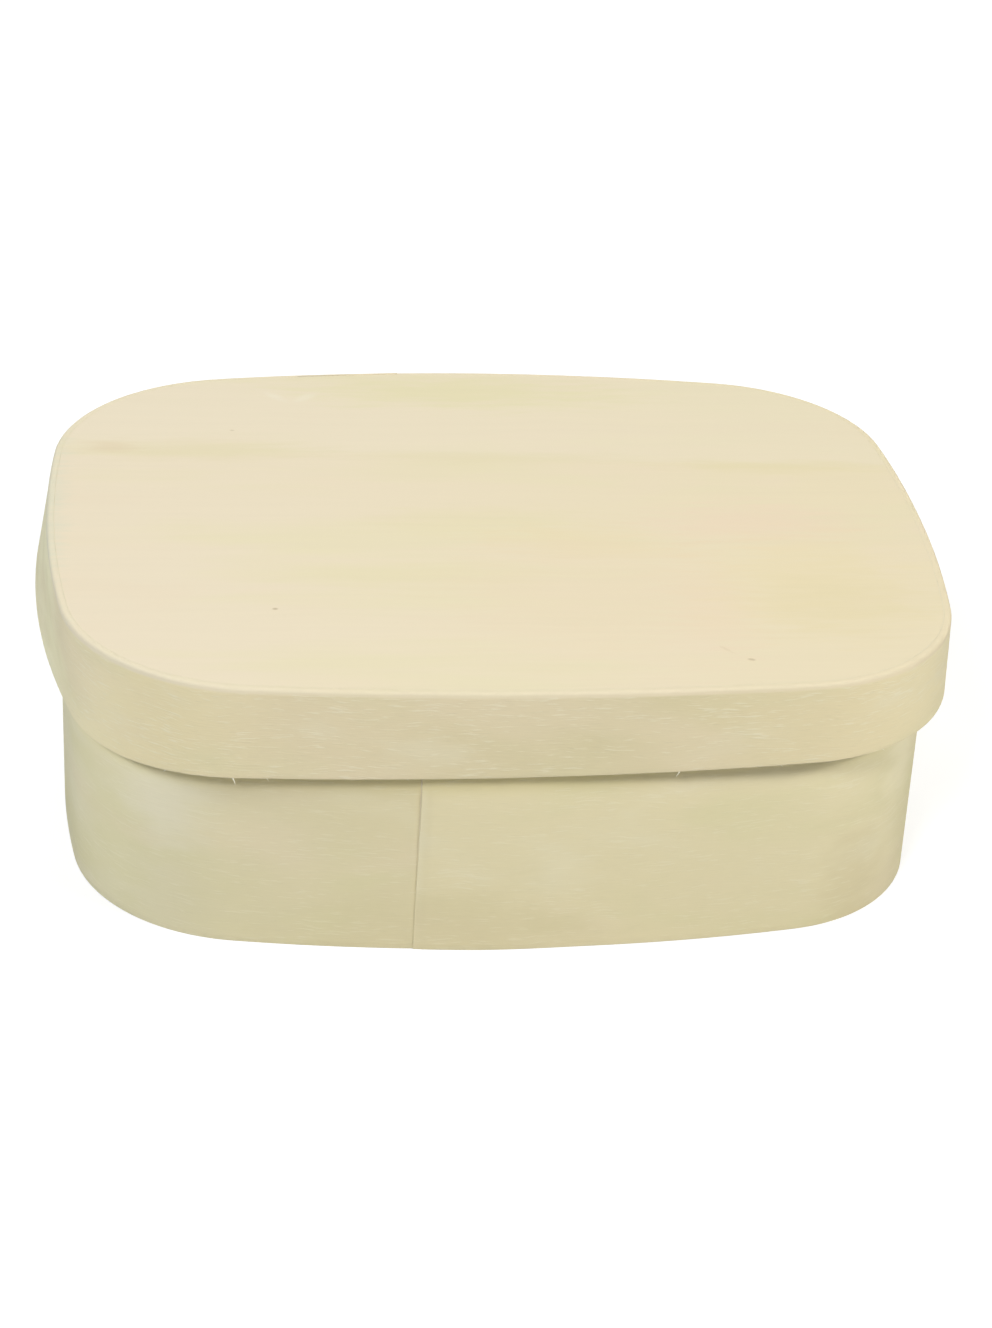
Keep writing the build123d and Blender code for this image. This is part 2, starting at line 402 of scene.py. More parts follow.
base_form = bending_form(
    ((79.2, 298.0, 0.0), (62.95, 321.0, 0.0), (77.2, 187.5, 0.0), (62.55, 294.5, -1.5)),
    (30.6, 34.0, 33.7, 30.4),
)
base_line = form_line("base_form", base_form, base_form)
bend_round = round_the_form()
base_board = board("base_board", base_form, board_inset, 0.0, board_thickness, worn=0.12)
shape_by(bend_round, base_board, {
    "Form": base_line, "Start": 0.0, "Top": board_thickness * mm,
    "Form depth": board_thickness * mm, "Finish": sanded_poplar(
        "base_board_poplar", colour(233, 221, 190), colour(233, 220, 186),
        colour(228, 214, 174), colour(235, 217, 184), 5.0,
    ),
})
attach(base_board, "base")
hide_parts("base_disc")


# Wall of the box
# One strip of peeled poplar, bent wet round the form. Its inner end is shaved thin and lies
# under the outer one, which is glued over it and shows as an upright edge on the front.

wall_height = 50.0
front_side = 6
seam_place = -13.4
seam_length = 11.5
settling_length = 20.0
shaved_tip = 0.3
worn_tip = 0.04
worn_length = 1.6


def eased(value):
    """A value of 0 to 1, eased at both ends."""
    value = min(max(value, 0.0), 1.0)
    return value * value * (3 - 2 * value)


def section_of(bottom, top, upper, within, lower, rows):
    """The outline of a strip's section, up its outer and down its inner face in rows of steps, as
    (0 or 1 for the face, how far inwards of it, height).

    upper, within and lower are the radii of its upper outer, upper inner and two lower corners."""
    steps_up, steps_down = rows
    outline = [
        (0, 0, bottom + lower + (top - upper - bottom - lower) * step / steps_up)
        for step in range(steps_up + 1)
    ]
    for turn in (math.radians(15 * step) for step in range(1, 7)):
        outline.append((0, upper * (1 - math.cos(turn)), top - upper * (1 - math.sin(turn))))
    for turn in (math.radians(30 * step) for step in range(4)):
        outline.append((1, -within * (1 - math.sin(turn)), top - within * (1 - math.cos(turn))))
    for step in range(1, steps_down + 1):
        height = top - within - (top - within - bottom - lower) * step / steps_down
        outline.append((1, 0, height))
    for turn in (math.radians(30 * step) for step in range(1, 4)):
        outline.append((1, -lower * (1 - math.cos(turn)), bottom + lower * (1 - math.sin(turn))))
    for turn in (math.radians(30 * step) for step in range(3)):
        outline.append((0, lower * (1 - math.sin(turn)), bottom + lower * (1 - math.cos(turn))))
    return outline


def strip(name, arcs, top, seam_arc, seam, lap, slant, low_edge, lies, easing, spacing, rows):
    """A strip laid flat, from its visible end once round a form and on under it, with a UV map of
    its length and height, and where on the form it starts.

    seam is how far its visible end is from the crest of the arc seam_arc, and lap the length at
    which its ends lie over each other. lies gives the depths of its two faces at a length from the
    visible end and a height, low_edge the height of its lower edge, slant how far its visible end
    stands aside at a height, and easing the radii of its upper outer edge and of the others."""
    around, total = stations(arcs, spacing)
    starts = [length for length, number, share in around if share == 0]
    facing = math.radians(90 * (seam_arc // 2)) % math.tau
    to_crest = ((facing - arcs[seam_arc][2]) % math.tau) * arcs[seam_arc][1]
    start = starts[seam_arc] + to_crest + seam
    rest = sorted((length - start) % total for length, number, share in around)
    rest = [length for length in rest if lap + 0.2 < length < total - 0.4]
    lapped = [lap * step / 14 for step in range(15)]

    # sections stand closer together at the visible end, and where the other one goes under it
    path = [0.0, 0.12, 0.3, 0.6, *lapped[2:], *rest, total - 0.1, total - 0.09]
    path += [total + length for length in lapped]

    points, faces, marks = [], [], []
    for length in path:
        passed = (length + start) % total
        number = max(n for n, s in enumerate(starts) if s <= passed + 1e-9)
        radius, first, last = arcs[number][1:]
        share = (passed - starts[number]) / (radius * (last - first))
        bottom = low_edge(length, on_form(arcs, number, share, 0))
        outer, inner = lies(length, (top + bottom) / 2)
        thickness = inner - outer
        upper, lower = min(easing[0](length), thickness * 0.8), min(easing[1], thickness * 0.4)
        section = section_of(bottom, top, upper, min(0.02, thickness * 0.15), lower, rows)
        run = 0.0
        before = None
        row_marks = []
        for face, inwards, height in section:
            depth = lies(length, height)[face] + inwards
            moved = length + slant(height) * max(0.0, 1 - length / lap)
            if before is not None:
                run += math.hypot(depth - before[0], height - before[1])
            before = (depth, height)
            points.append((moved, depth, height))
            row_marks.append((length * mm, (bottom + lower + run) * mm))
        run += math.hypot(lies(length, bottom)[0] - before[0], bottom + lower - before[1])
        marks.append(row_marks + [(length * mm, (bottom + lower + run) * mm)])

    size = len(section)
    end = (len(path) - 1) * size
    for row in range(0, end, size):
        for step in range(size):
            onward = (step + 1) % size
            faces.append((row + step, row + size + step, row + size + onward, row + onward))
    faces.append(tuple(range(size)))
    faces.append(tuple(reversed(range(end, end + size))))
    piece = as_mesh(name, points, faces, (len(faces) - 2, len(faces) - 1))
    chart = piece.data.uv_layers.new(name="along_strip")
    for face in piece.data.polygons:
        steps = [corner % size for corner in face.vertices]
        # the last step of a section closes it, and its mark is the one after the last
        wraps = len(steps) == 4 and size - 1 in steps and 0 in steps
        for loop, corner, step in zip(face.loop_indices, face.vertices, steps):
            chart.data[loop].uv = marks[corner // size][size if wraps and step == 0 else step]
    return piece, start


base_around = stations(base_form, 1.0)[1]


def base_lies(length, height):
    """Depths of the two faces of the base's strip, at a length from its visible end and a height.

    The visible end stands proud, more so above than at the foot, and is worn thin. Past the lap the
    strip settles back onto the form, and its inner end thins out under the visible one."""
    if length <= seam_length:
        share = length / seam_length
        lifted = 0.12 * eased((height - 14) / 22) - 0.2 * (1 - eased(height / 16))
        proud = glue_film + shaved_tip + lifted * (1 - share) ** 1.5
        tip = min(shaved_tip, proud - 0.05)
        worn = (tip - worn_tip) * (1 - eased(length / worn_length))
        return worn - proud, -proud + tip + (veneer_thickness - tip) * share
    if length <= seam_length + settling_length:
        left = (glue_film + shaved_tip) * (1 - eased((length - seam_length) / settling_length))
        return -left, veneer_thickness - left
    share = max(0.0, (length - base_around) / seam_length)
    return (veneer_thickness - shaved_tip) * share, veneer_thickness


def seam_slant(height):
    """How far the visible end stands aside at a height: it leans, and isn't cut quite straight."""
    cut = 0.10 * noise.noise((height / 3.0, 2.0, 4.0))
    cut += 0.05 * noise.noise((height / 0.9, 6.0, 1.0))
    return -0.3 + 0.55 * eased(height / 34) + cut


def peeled_poplar(
    name, along, pale, green, rosy, fibre, seed, brushed, spots=(), shade_under_lid=None, rim=None,
):
    """Peeled strip: fine broken fibres along it, in patches, over soft clouds of tint.

    along is the tint from the visible end to the other, as (length in mm, colour) pairs; brushed is
    how much its fibres stand out; spots are (middle, reach, colour, share) on the strip, and some
    of them are painted light or shade; the band under the lid is a yellower, less blue tint on its
    outside by the lid's edge, painted shade for the warm shade that falls there, as (height of that
    edge, how it rises with x, colour, share); rim is the height from which it is sanded like the
    board, and that look."""
    finish, tree = finish_of(name)
    chart = node(tree, "ShaderNodeUVMap", {"uv_map": "along_strip"}).outputs["UV"]
    parts = node(tree, "ShaderNodeSeparateXYZ", None, Vector=chart)
    drift = patches(tree, chart, (14, 9, 10), 2.0, seed + 7)
    grain = wavy(tree, chart, drift, 2.4)
    clouds = patches(tree, grain, (30, 13, 10), 3.0, seed)
    warm = patches(tree, grain, (44, 18, 10), 2.0, seed + 1)
    hairs = patches(tree, grain, (4.0, 0.26, 10), 3.0, seed + 2, 0.6)
    strands = patches(tree, grain, (3.2, 0.3, 10), 2.0, seed + 3)
    broken = patches(tree, grain, (14, 5.0, 10), 3.0, seed + 4, 0.6)
    pores = patches(tree, grain, (3.0, 0.22, 10), 1.0, seed + 5)
    tint = along[0][1]
    for (near, _), (far, hue) in zip(along, along[1:]):
        tint = blended(tree, between(tree, parts.outputs["X"], near * mm, far * mm), tint, hue)
    tint = laid_over(tree, tint, green, between(tree, clouds, 0.46, 0.70), 0.7)
    tint = laid_over(tree, tint, pale, between(tree, clouds, 0.44, 0.26), 0.4)
    tint = laid_over(tree, tint, rosy, between(tree, warm, 0.5, 0.72), 0.6)
    for middle, reach, hue, share in spots:
        tint = laid_over(tree, tint, hue, mark(tree, grain, middle, reach, 0, broken), share)
    # painted shade: a yellower, less blue band just below the lid's edge stands for the warm shade
    # under the lid; higher up, where the lid covers the wall, it fades to a third, and it stays off
    # the inside
    if shade_under_lid:
        level, slope, hue, share = shade_under_lid
        where = node(tree, "ShaderNodeTexCoord").outputs["Object"]
        place = node(tree, "ShaderNodeSeparateXYZ", None, Vector=where)
        above = reckon(tree, "MULTIPLY_ADD", place.outputs["X"], -slope, place.outputs["Z"])
        above = reckon(tree, "MULTIPLY_ADD", hairs, 0.8 * mm, above)
        under_lid = between(tree, above, (level + 0.5) * mm, (level + 4.5) * mm)
        faded = reckon(tree, "MULTIPLY_ADD", under_lid, -0.7 * share, share)
        outside = between(tree, parts.outputs["Y"], (wall_height + 0.6) * mm, wall_height * mm)
        band = between(tree, above, (level - 4.2) * mm, (level + 0.6) * mm)
        tint = laid_over(tree, tint, hue, band, reckon(tree, "MULTIPLY", faded, outside))
    sparse = reckon(tree, "MULTIPLY_ADD", broken, 0.35, strands)
    torn = between(tree, sparse, 0.74, 0.90)
    tint = laid_over(tree, tint, fibre, torn, brushed)
    shade = reckon(tree, "MULTIPLY_ADD", hairs, 0.18 * brushed, 1 - 0.09 * brushed)
    dark = reckon(tree, "MULTIPLY_ADD", between(tree, pores, 0.33, 0.24), -0.13 * brushed, 1.0)
    shade = reckon(tree, "MULTIPLY", shade, dark)
    tint = shift(tree, "SCALE", tint, shade)
    relief = reckon(tree, "MULTIPLY_ADD", torn, 0.35, hairs)
    if rim:
        level, look = rim
        smooth = sanded(tree, *look)[0]
        height = reckon(tree, "MULTIPLY_ADD", drift, 0.5 * mm, parts.outputs["Y"])
        worn = between(tree, height, level * mm, (level + 0.55) * mm)
        tint = blended(tree, worn, tint, smooth)
        relief = reckon(tree, "MULTIPLY", relief, reckon(tree, "MULTIPLY_ADD", worn, -0.8, 1.0))
    surface(tree, tint, reckon(tree, "MULTIPLY_ADD", hairs, 0.2, 0.6), relief, 0.11 * brushed)
    return finish


base_wall, base_start = strip(
    "base_wall", base_form, wall_height, front_side, seam_place, seam_length,
    slant=seam_slant, low_edge=lambda length, place: 0.0, lies=base_lies,
    easing=(lambda length: 0.2, 0.15), spacing=0.9, rows=(44, 12),
)
base_wall_look = peeled_poplar(
    "base_wall_poplar", along=(
        # painted highlight: the first millimetre or so of the visible end is paler, for the light
        # its worn edge catches
        (0.2, colour(237, 227, 189)),
        (1.5, colour(233, 222, 182)),
        (60, colour(231, 220, 180)),
        (100, colour(235, 225, 185)),
        (base_around - 130, colour(232, 226, 190)),
        (base_around - 60, colour(232, 224, 188)),
        (base_around - 25, colour(227, 217, 178)),
        (base_around - 1.3, colour(228, 217, 177)),
        (base_around - 0.2, colour(230, 218, 176)),
    ),
    pale=colour(238, 231, 200), green=colour(226, 218, 174), rosy=colour(234, 220, 186),
    fibre=colour(243, 236, 208), seed=2.0, brushed=0.28, spots=(
        # painted sheen: a pale patch on the front left corner, where the light from the left
        # glances off the curve
        ((base_around - 44.5, 27), (14, 15), colour(243, 236, 213), 0.45),
        # painted shade: these two make the foot of the wall darker on both sides of the seam
        ((base_around - 6, 2), (26, 11), colour(220, 209, 167), 0.45),
        ((8, 4), (32, 15), colour(220, 209, 166), 0.6),
        ((79, 8), (11, 20), colour(218, 205, 164), 0.5),
        # painted light: a lighter patch at the right end, just under the lid, lifts the shade the
        # lid casts there
        ((91, 30), (8, 16), colour(247, 238, 203), 0.6),
    ),
    # painted shade: the yellower band just below the lid's edge
    shade_under_lid=(35.0, 0.02, colour(229, 216, 156), 0.6),
)
shape_by(bend_round, base_wall, {
    "Form": base_line, "Start": base_start * mm, "Top": wall_height * mm,
    "Form depth": wall_height * mm, "Finish": base_wall_look,
})
bpy.data.meshes.remove(base_line.data)
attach(base_wall, "base")
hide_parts("base_band")


# Glue of the base and of the lid
# Dried wood glue in thin films: one between the shaved ends of each strip, and one between the
# edge of each board and the strip round it. Only their edges show, as hairlines.


def dried_glue(name, seed):
    """A material of dried glue, beaded and a little glossy."""
    finish, tree = finish_of(name)
    where = node(tree, "ShaderNodeTexCoord").outputs["Object"]
    beads = patches(tree, where, (2.5, 2.5, 2.5), 3.0, seed)
    tint = blended(tree, beads, colour(232, 220, 186), colour(238, 227, 200))
    surface(tree, tint, reckon(tree, "MULTIPLY_ADD", beads, 0.3, 0.3), beads, 0.03)
    return finish


for seed, film in enumerate(("base_lap_glue", "base_disc_glue", "lid_lap_glue", "lid_disc_glue")):
    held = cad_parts[film]
    held.data.materials.clear()
    held.data.materials.append(dried_glue(film + "_dry", seed))


# Top of the lid
# A flat board like the bottom, sanded smooth and level with the upper edge of its strip. Its figure
# is faint: an olive band at the back, a brown streak at the left, and soft yellow and pink clouds.

# The lid's walls lean out, so its form is given at the top, and as the skirt at a depth below it.
lid_top = 53.0
lid_half_length = 82.5
lid_half_width = 65.8
lean_right = 0.45
lean_left = 2.9
lid_height_right = 14.7
lid_height_left = 18.0
skirt_depth = 20.0
lid_reach_right = lid_half_length - lean_right
lid_reach_left = lid_half_length - lean_left
skirt_reach_right = lid_reach_right + lean_right * skirt_depth / lid_height_right
skirt_reach_left = lid_reach_left + lean_left * skirt_depth / lid_height_left
lid_back = (lid_half_width, 324.0, 0.0)
lid_front = (lid_half_width, 515.0, 0.0)
lid_form = bending_form(
    ((lid_reach_right, 301.0, 0.0), lid_back, (lid_reach_left, 266.0, 9.4), lid_front),
    (33.5, 36.9, 36.0, 31.8),
)
skirt_form = bending_form(
    ((skirt_reach_right, 301.0, 0.0), lid_back, (skirt_reach_left, 196.5, 16.8), lid_front),
    (33.5, 41.9, 32.7, 31.8),
)

# where the wood is greener along the left edge, on the board and on the rim
greener_edge = (
    ((-82, 3), (8, 74), 0, colour(225, 220, 195), 0.9),
    ((-80.5, -42), (8, 28), 17, colour(225, 220, 195), 0.9),
    ((-72, 58.2), (8, 28), -45, colour(225, 218, 191), 0.6),
)
lid_figure = (
    # the olive band at the back, and two pale nicks that meet in a V
    ((-1, 57), (48, 12), -3, colour(229, 221, 174), 0.6),
    ((-36.7, 53.8), (5, 1.6), -45, colour(243, 235, 214), 0.35),
    ((-30.8, 53.8), (5, 1.6), 43, colour(243, 235, 214), 0.35),
    # the brown streak at the left, and its faint way on to the right
    ((-51, 29), (32, 7), 0, colour(229, 217, 178), 0.5),
    ((-69, 31), (8, 4), 0, colour(227, 207, 174), 0.45),
    ((4, 25.5), (44, 4), -1, colour(228, 217, 176), 0.35),
    ((58, 22.0), (34, 4), -3, colour(229, 217, 170), 0.4),
    # yellow and pink clouds from the middle to the front right corner
    ((0, -2), (34, 8), 0, colour(232, 221, 180), 0.45),
    ((17, -10.5), (26, 9), -4, colour(236, 219, 174), 0.35),
    ((-14, -24), (34, 9), 0, colour(232, 221, 180), 0.35),
    ((50, -2), (27, 13), 0, colour(240, 216, 190), 0.5),
    ((37, -36), (12, 28), 0, colour(239, 217, 188), 0.45),
    ((14, -32), (36, 38), 0, colour(236, 218, 186), 0.4),
    ((57, -26), (28, 28), 0, colour(236, 220, 176), 0.45),
    ((62, -34), (22, 17), 0, colour(229, 215, 172), 0.35),
    # brown specks and one scratch
    ((-39, -36.6), (0.7, 0.5), 0, colour(186, 168, 130), 0.7),
    ((41.3, -54.8), (0.9, 0.5), -30, colour(180, 160, 120), 0.45),
    ((37.5, -50.5), (3.0, 0.5), -55, colour(220, 202, 166), 0.35),
    ((-45.4, 38.1), (0.7, 0.4), 0, colour(200, 184, 148), 0.6),
    *greener_edge,
)
lid_whiter_back = (24.8, -0.055, colour(238, 226, 200), 0.4)
lid_look = (
    colour(237, 223, 196), colour(236, 222, 188), colour(234, 223, 187), colour(237, 221, 193), 1.0,
)
lid_line = form_line("lid_form", lid_form, skirt_form)
lid_board = board(
    "lid_board", lid_form, board_inset, lid_top - board_thickness, lid_top, worn=0.02,
)
shape_by(bend_round, lid_board, {
    "Form": lid_line, "Start": 0.0, "Top": lid_top * mm, "Form depth": skirt_depth * mm,
    "Finish": sanded_poplar("lid_board_poplar", *lid_look, lid_figure, lid_whiter_back),
})
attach(lid_board, "lid")
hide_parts("lid_disc")


# Rim of the lid
# A lower strip, bent and glued like the wall, with its joint on the back. Its lower edge rises a
# little to the right, its left wall leans out, and its upper edge is rounded by sanding and use.

back_side = 2
lid_seam_place = 12.0
lid_lap = 20.0
lid_around = stations(lid_form, 1.0)[1]


def lid_lies(length, height):
    """Depths of the two faces of the lid's strip, at a length from its visible end. Both shaved
    ends lie within the thickness of the veneer, so that the lap is flush."""
    if length <= lid_lap:
        return 0.0, shaved_tip + (veneer_thickness - shaved_tip) * length / lid_lap
    if length < lid_around - 0.095:
        return 0.0, veneer_thickness
    share = max(0.0, (length - lid_around) / lid_lap)
    under = shaved_tip + glue_film
    return under + (veneer_thickness - 2 * shaved_tip - glue_film) * share, veneer_thickness


def lid_low_edge(length, place):
    """Height of the lid's lower edge, cut askew, with a dip at the front left corner and chips."""
    low_left = lid_top - lid_height_left
    rise = lid_top - lid_height_right - low_left
    level = low_left + (place.x + lid_half_length) * rise / (2 * lid_half_length)
    level -= 0.3 * math.exp(-((place.x + 66) ** 2 + (place.y + 50) ** 2) / 300)
    chips = 0.06 * noise.noise((length / 2.2, 9.0, 0.0))
    chips += 0.05 * max(0.0, noise.noise((length / 0.9, 2.0, 5.0)) - 0.2)
    return level + 0.07 + 0.07 * noise.noise((length / 11.0, 3.0, 0.0)) + chips


def lid_easing(length):
    """Radius of the lid's upper edge, worn unevenly and nicked here and there."""
    nick = max(0.0, noise.noise((length / 1.7, 1.0, 7.0)) - 0.25)
    return 0.50 + 0.14 * noise.noise((length / 24.0, 5.0, 1.0)) + 0.25 * nick


lid_rim, lid_start = strip(
    "lid_rim", lid_form, lid_top, back_side, lid_seam_place, lid_lap,
    slant=lambda height: 0.0, low_edge=lid_low_edge, lies=lid_lies,
    easing=(lid_easing, 0.12), spacing=0.8, rows=(22, 8),
)
lid_rim_look = peeled_poplar(
    "lid_rim_poplar", along=(
        (0, colour(235, 225, 186)),
        # painted light: the far left of the rim is tinted lighter, in place of more light from the
        # left on its leaning wall
        (126, colour(244, 237, 199)),
        (180, colour(236, 222, 179)),
        (205, colour(230, 216, 179)),
        (254, colour(223, 211, 171)),
        (295, colour(232, 218, 177)),
        (325, colour(241, 229, 188)),
        (420, colour(240, 231, 191)),
    ),
    pale=colour(236, 228, 198), green=colour(226, 217, 175), rosy=colour(234, 219, 185),
    fibre=colour(243, 236, 209), seed=8.0, brushed=0.45,
    rim=(lid_top - 0.9, (colour(236, 224, 195), *lid_look[1:], greener_edge)),
)
shape_by(bend_round, lid_rim, {
    "Form": lid_line, "Start": lid_start * mm, "Top": lid_top * mm,
    "Form depth": skirt_depth * mm, "Finish": lid_rim_look,
})
bpy.data.meshes.remove(lid_line.data)
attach(lid_rim, "lid")
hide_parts("lid_band")


# Splinters
# Loose fibres at the cut edges of both strips: a millimetre or two long, pale, thinning to a point
# and curling away from the edge. Six hang on the front of the lid's lower edge, as photographed.


def torn_fibres():
    """Nodes that grow one curled, tapering fibre on every vertex, along its own direction."""
    group, given = new_tree("torn_fibres", "Fibres", (
        ("Roots", "Geometry"), ("Length", "Float"), ("Thickness", "Float"), ("Curl", "Float"),
        ("Spread", "Float"), ("Seed", "Int"), ("Finish", "Material"),
    ))
    line = node(group, "GeometryNodeCurvePrimitiveLine", None, End=(1, 0, 0)).outputs["Curve"]
    line = node(group, "GeometryNodeResampleCurve", None, Curve=line, Count=9).outputs["Curve"]

    # it sags towards its tip by Curl, sways a little, and thins to a point
    share = node(group, "GeometryNodeSplineParameter").outputs["Factor"]
    down = reckon(group, "MULTIPLY", given["Curl"], -1.0)
    sag = reckon(group, "MULTIPLY", reckon(group, "POWER", share, 2.0), down)
    wave = reckon(group, "SINE", reckon(group, "MULTIPLY", share, 4.0))
    sway = reckon(group, "MULTIPLY", wave, 0.06)
    bend = node(group, "ShaderNodeCombineXYZ", None, Y=sway, Z=sag).outputs[0]
    line = node(
        group, "GeometryNodeSetPosition", None, Geometry=line, Offset=bend,
    ).outputs["Geometry"]
    thin = reckon(group, "SUBTRACT", 1.05, reckon(group, "POWER", share, 1.6))
    slimness = reckon(group, "DIVIDE", given["Thickness"], given["Length"])
    thickness = reckon(group, "MULTIPLY", thin, slimness)
    ring = node(
        group, "GeometryNodeCurvePrimitiveCircle", None, Resolution=6, Radius=0.5,
    ).outputs["Curve"]
    fibre = node(
        group, "GeometryNodeCurveToMesh", None,
        Curve=line, Profile_Curve=ring, Scale=thickness, Fill_Caps=True,
    ).outputs["Mesh"]

    def known(label, kind):
        found = node(group, "GeometryNodeInputNamedAttribute", {"data_type": kind}, Name=label)
        return found.outputs["Attribute"]

    # it points along its root's direction, upright, and then turns and grows by chance
    turned = node(
        group, "FunctionNodeAlignRotationToVector", {"axis": "X"},
        Vector=known("along", "FLOAT_VECTOR"),
    ).outputs["Rotation"]
    turned = node(
        group, "FunctionNodeAlignRotationToVector", {"axis": "Z", "pivot_axis": "X"},
        Rotation=turned, Vector=(0, 0, 1),
    ).outputs["Rotation"]
    chance = node(
        group, "FunctionNodeRandomValue", {"data_type": "FLOAT_VECTOR"}, Seed=given["Seed"],
    )
    chance.inputs["Min"].default_value = (-0.5, -0.15, -0.15)
    chance.inputs["Max"].default_value = (0.5, 0.15, 0.15)
    tilted = node(
        group, "FunctionNodeEulerToRotation", None, Euler=chance.outputs["Value"],
    ).outputs["Rotation"]
    turned = node(
        group, "FunctionNodeRotateRotation", {"rotation_space": "LOCAL"},
        Rotation=turned, Rotate_By=tilted,
    ).outputs["Rotation"]
    other = node(group, "FunctionNodeRandomValue", {"data_type": "FLOAT"}, Seed=given["Seed"])
    draw = next(socket for socket in other.outputs if socket.enabled)
    wide = reckon(group, "MULTIPLY_ADD", reckon(group, "SUBTRACT", draw, 0.5), given["Spread"], 1.0)
    wide = reckon(group, "MULTIPLY", wide, known("size", "FLOAT"))
    grown = node(
        group, "GeometryNodeInstanceOnPoints", None, Points=given["Roots"], Instance=fibre,
        Rotation=turned, Scale=reckon(group, "MULTIPLY", wide, given["Length"]),
    ).outputs["Instances"]
    end_tree(group, grown, given["Finish"], smooth=True)
    return group


def splinters(name, group, roots, values):
    """Fibres on roots of (place in millimetres, direction, size), as a plain mesh."""
    mesh = bpy.data.meshes.new(name)
    mesh.from_pydata([tuple(part * mm for part in place) for place, along, size in roots], [], [])
    directions = [part for place, along, size in roots for part in along]
    sizes = [size for place, along, size in roots]
    mesh.attributes.new("along", "FLOAT_VECTOR", "POINT").data.foreach_set("vector", directions)
    mesh.attributes.new("size", "FLOAT", "POINT").data.foreach_set("value", sizes)
    piece = in_scene(name, mesh)
    shape_by(group, piece, values)
    return piece


def edge_root(low_arcs, high_arcs, share_down, arc, share, depth, height, way, aside, down, size):
    """Root on a strip's edge at a share of one arc: where it is, and where its fibre points.

    way is 1 or -1 for on along the edge or back, aside and down how far it points out and down."""
    places = []
    for part in (share, share + 0.001):
        high, low = on_form(high_arcs, arc, part, depth), on_form(low_arcs, arc, part, depth)
        places.append(high.lerp(low, share_down))
    onward = (places[1] - places[0]).normalized()
    outward = Vector((onward.y, -onward.x))
    flat = onward * way + outward * aside
    return (places[0].x, places[0].y, height), (flat.x, flat.y, down), size


def lid_root(arc, share, low, *pointing):
    """Root just above the lid's lower edge, at a height low."""
    share_down = (lid_top - low) / skirt_depth
    return edge_root(
        skirt_form, lid_form, share_down, arc, share, 0.25, low + 0.15, *pointing,
    )


def front_share(arcs, arc, across):
    """The share of an arc at which it passes a place given in x."""
    low, high = 0.0, 1.0
    for step in range(30):
        middle = (low + high) / 2
        low, high = (middle, high) if on_form(arcs, arc, middle, 0).x < across else (low, middle)
    return low


# the six on the front, as (x, way, aside, down, size), and others at shares of the arcs
lid_roots = []
for across, *pointing in (
    (-57.3, -1, 0.15, -0.35, 0.85), (-47.1, 1, 0.25, -1.2, 1.15), (-41.6, 1, 0.2, -0.5, 0.6),
    (-18.2, 1, 0.1, -0.2, 0.6), (28.7, -1, 0.3, -0.9, 0.9), (45.8, 1, 0.2, -0.35, 0.8),
):
    arc = front_side - 1 if across < on_form(skirt_form, front_side, 0, 0).x else front_side
    low = lid_low_edge(0, Vector((across, 0)))
    lid_roots.append(lid_root(arc, front_share(skirt_form, arc, across), low, *pointing))
for number, (arc, share) in enumerate((
    (0, 0.3), (0, 0.8), (1, 0.4), (2, 0.15), (2, 0.35), (2, 0.72), (3, 0.5), (4, 0.2), (4, 0.65),
    (5, 0.1), (7, 0.3),
)):
    low = lid_low_edge(0, on_form(skirt_form, arc, share, 0))
    size = 0.6 + 0.1 * (number % 4)
    lid_roots.append(lid_root(arc, share, low, (-1) ** number, 0.12, -0.35, size))
wall_roots = []
for number, (arc, share) in enumerate((
    (0, 0.35), (1, 0.2), (1, 0.8), (2, 0.12), (2, 0.4), (2, 0.63), (3, 0.55), (4, 0.3), (4, 0.75),
    (5, 0.5), (6, 0.12), (6, 0.7), (6, 0.9), (7, 0.45),
)):
    wall_roots.append(edge_root(
        base_form, base_form, 0, arc, share, 0.2, wall_height - 0.25,
        (-1) ** number, 0.14, -0.06, 0.6 + 0.12 * (number % 4),
    ))
fibre_finish, tree = finish_of("torn_fibre")
where = node(tree, "ShaderNodeTexCoord").outputs["Object"]
specks = patches(tree, where, (0.6, 0.6, 0.6), 2.0, 3.0)
surface(
    tree, blended(tree, specks, colour(244, 237, 208), colour(251, 247, 230)),
    reckon(tree, "MULTIPLY_ADD", specks, 0.2, 0.5), specks, 0.01,
)
grow_fibres = torn_fibres()
for name, body, roots, seed, curl in (
    ("lid_splinters", "lid", lid_roots, 4, 0.3),
    ("wall_splinters", "base", wall_roots, 9, 0.1),
):
    piece = splinters(name, grow_fibres, roots, {
        "Length": 1.45 * mm, "Thickness": 0.27 * mm, "Curl": curl, "Spread": 0.3, "Seed": seed,
        "Finish": fibre_finish,
    })
    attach(piece, body)


# Floor, lamps and camera
# A pale floor under soft studio light, seen from the front, a little from the left and above. The
# floor glows a little to the camera, more so far off, so that it shows as white round the shadow.

floor_mesh = bpy.data.meshes.new("floor")
floor_mesh.from_pydata([(-4, -4, 0), (4, -4, 0), (4, 4, 0), (-4, 4, 0)], [], [(0, 1, 2, 3)])
floor = in_scene("floor", floor_mesh)
paint, tree = finish_of("floor_paint")
seen = node(tree, "ShaderNodeLightPath").outputs["Is Camera Ray"]
grey = blended(tree, seen, (0.7, 0.7, 0.7, 1), (0.45, 0.45, 0.45, 1))
matt = node(tree, "ShaderNodeBsdfDiffuse", None, Color=grey)
where = node(tree, "ShaderNodeTexCoord").outputs["Object"]
far = between(tree, shift(tree, "LENGTH", where, None), 0.6, 2.0)
glow = reckon(tree, "MULTIPLY", seen, reckon(tree, "MULTIPLY_ADD", far, 0.32, 0.68))
glow = node(tree, "ShaderNodeEmission", None, Color=(1, 1, 1, 1), Strength=glow)
both = node(tree, "ShaderNodeAddShader")
tree.links.new(matt.outputs[0], both.inputs[0])
tree.links.new(glow.outputs[0], both.inputs[1])
node(tree, "ShaderNodeOutputMaterial", None, Surface=both.outputs[0])
floor_mesh.materials.append(paint)

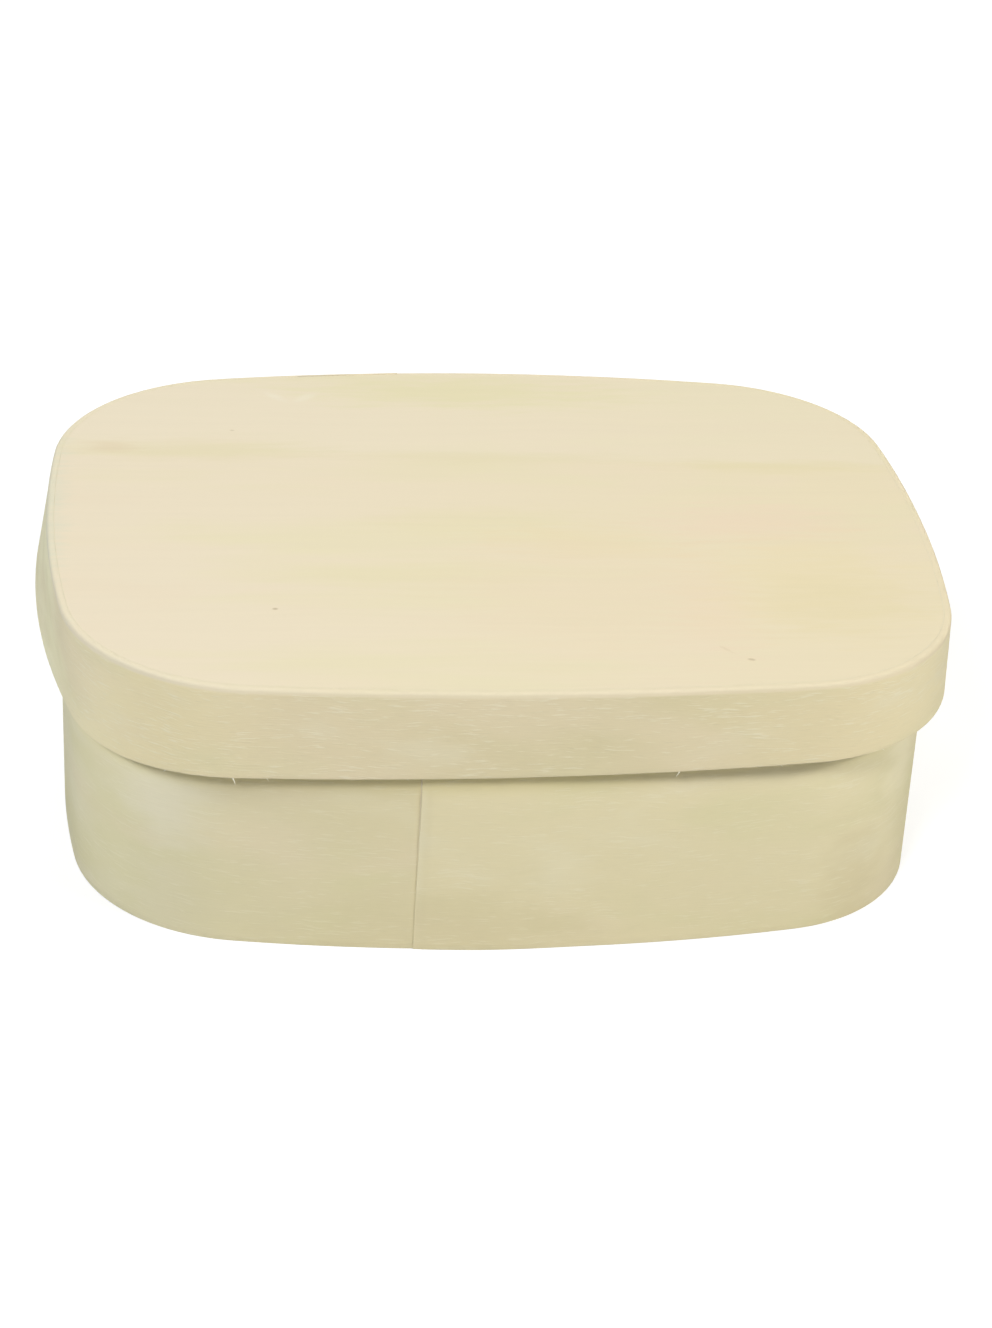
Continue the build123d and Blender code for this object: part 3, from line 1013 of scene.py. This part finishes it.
world = bpy.data.worlds.new("studio")
world.use_nodes = True
bpy.context.scene.world = world
tree = world.node_tree
tree.nodes.clear()
seen = node(tree, "ShaderNodeLightPath").outputs["Is Camera Ray"]
strength = reckon(tree, "MULTIPLY_ADD", seen, 0.97, 0.03)
sky = node(tree, "ShaderNodeBackground", None, Color=(1, 1, 1, 1), Strength=strength)
node(tree, "ShaderNodeOutputWorld", None, Surface=sky.outputs["Background"])


def lamp(name, place, size, power, tint):
    """A soft lamp at a place, aimed at the box."""
    light = bpy.data.lights.new(name, "AREA")
    light.shape = "RECTANGLE"
    light.size, light.size_y = size
    light.energy = power
    light.color = tint
    facing = (Vector(place) - Vector((0, 0, 0.03))).to_track_quat("Z", "Y").to_matrix().to_4x4()
    in_scene(name, light).matrix_world = Matrix.Translation(place) @ facing


lamp("front_lamp", (-0.44, -0.94, 0.90), (0.26, 0.22), 7.7, (0.99, 1.0, 1.03))
lamp("right_lamp", (0.96, -0.60, 0.77), (0.36, 0.20), 8.7, (1.0, 0.99, 0.97))
lamp("left_lamp", (-1.13, -0.10, 0.77), (0.28, 0.22), 4.2, (0.92, 1.0, 1.10))
lamp("back_lamp", (0.0, 0.8, 1.0), (0.8, 0.6), 7.1, (1.0, 1.0, 0.94))

# The camera's place and lens were fitted to the outlines of the lid and the base in the photograph.
azimuth, elevation, tilt = math.radians(-6.4775), math.radians(28.9264), math.radians(2.9698)
aim = Vector((3.926, 0.6535, 21.705)) * mm
distance = 582.93 * mm
level = math.cos(elevation)
back = Vector((math.sin(azimuth) * level, -math.cos(azimuth) * level, math.sin(elevation)))
right = Vector((0, 0, 1)).cross(back).normalized()
up = back.cross(right)
across = right * math.cos(tilt) + up * math.sin(tilt)
upward = up * math.cos(tilt) - right * math.sin(tilt)
facing = Matrix((across, upward, back)).transposed().to_4x4()
focal_length_pixels = 3083.96
photo_height_pixels = 1328
camera = in_scene("camera", bpy.data.cameras.new("camera"))
camera.matrix_world = Matrix.Translation(aim + back * distance) @ facing
camera.data.sensor_width = 36.0
camera.data.lens = focal_length_pixels * camera.data.sensor_width / photo_height_pixels
bpy.context.scene.camera = camera
bpy.context.scene.view_settings.view_transform = "Standard"
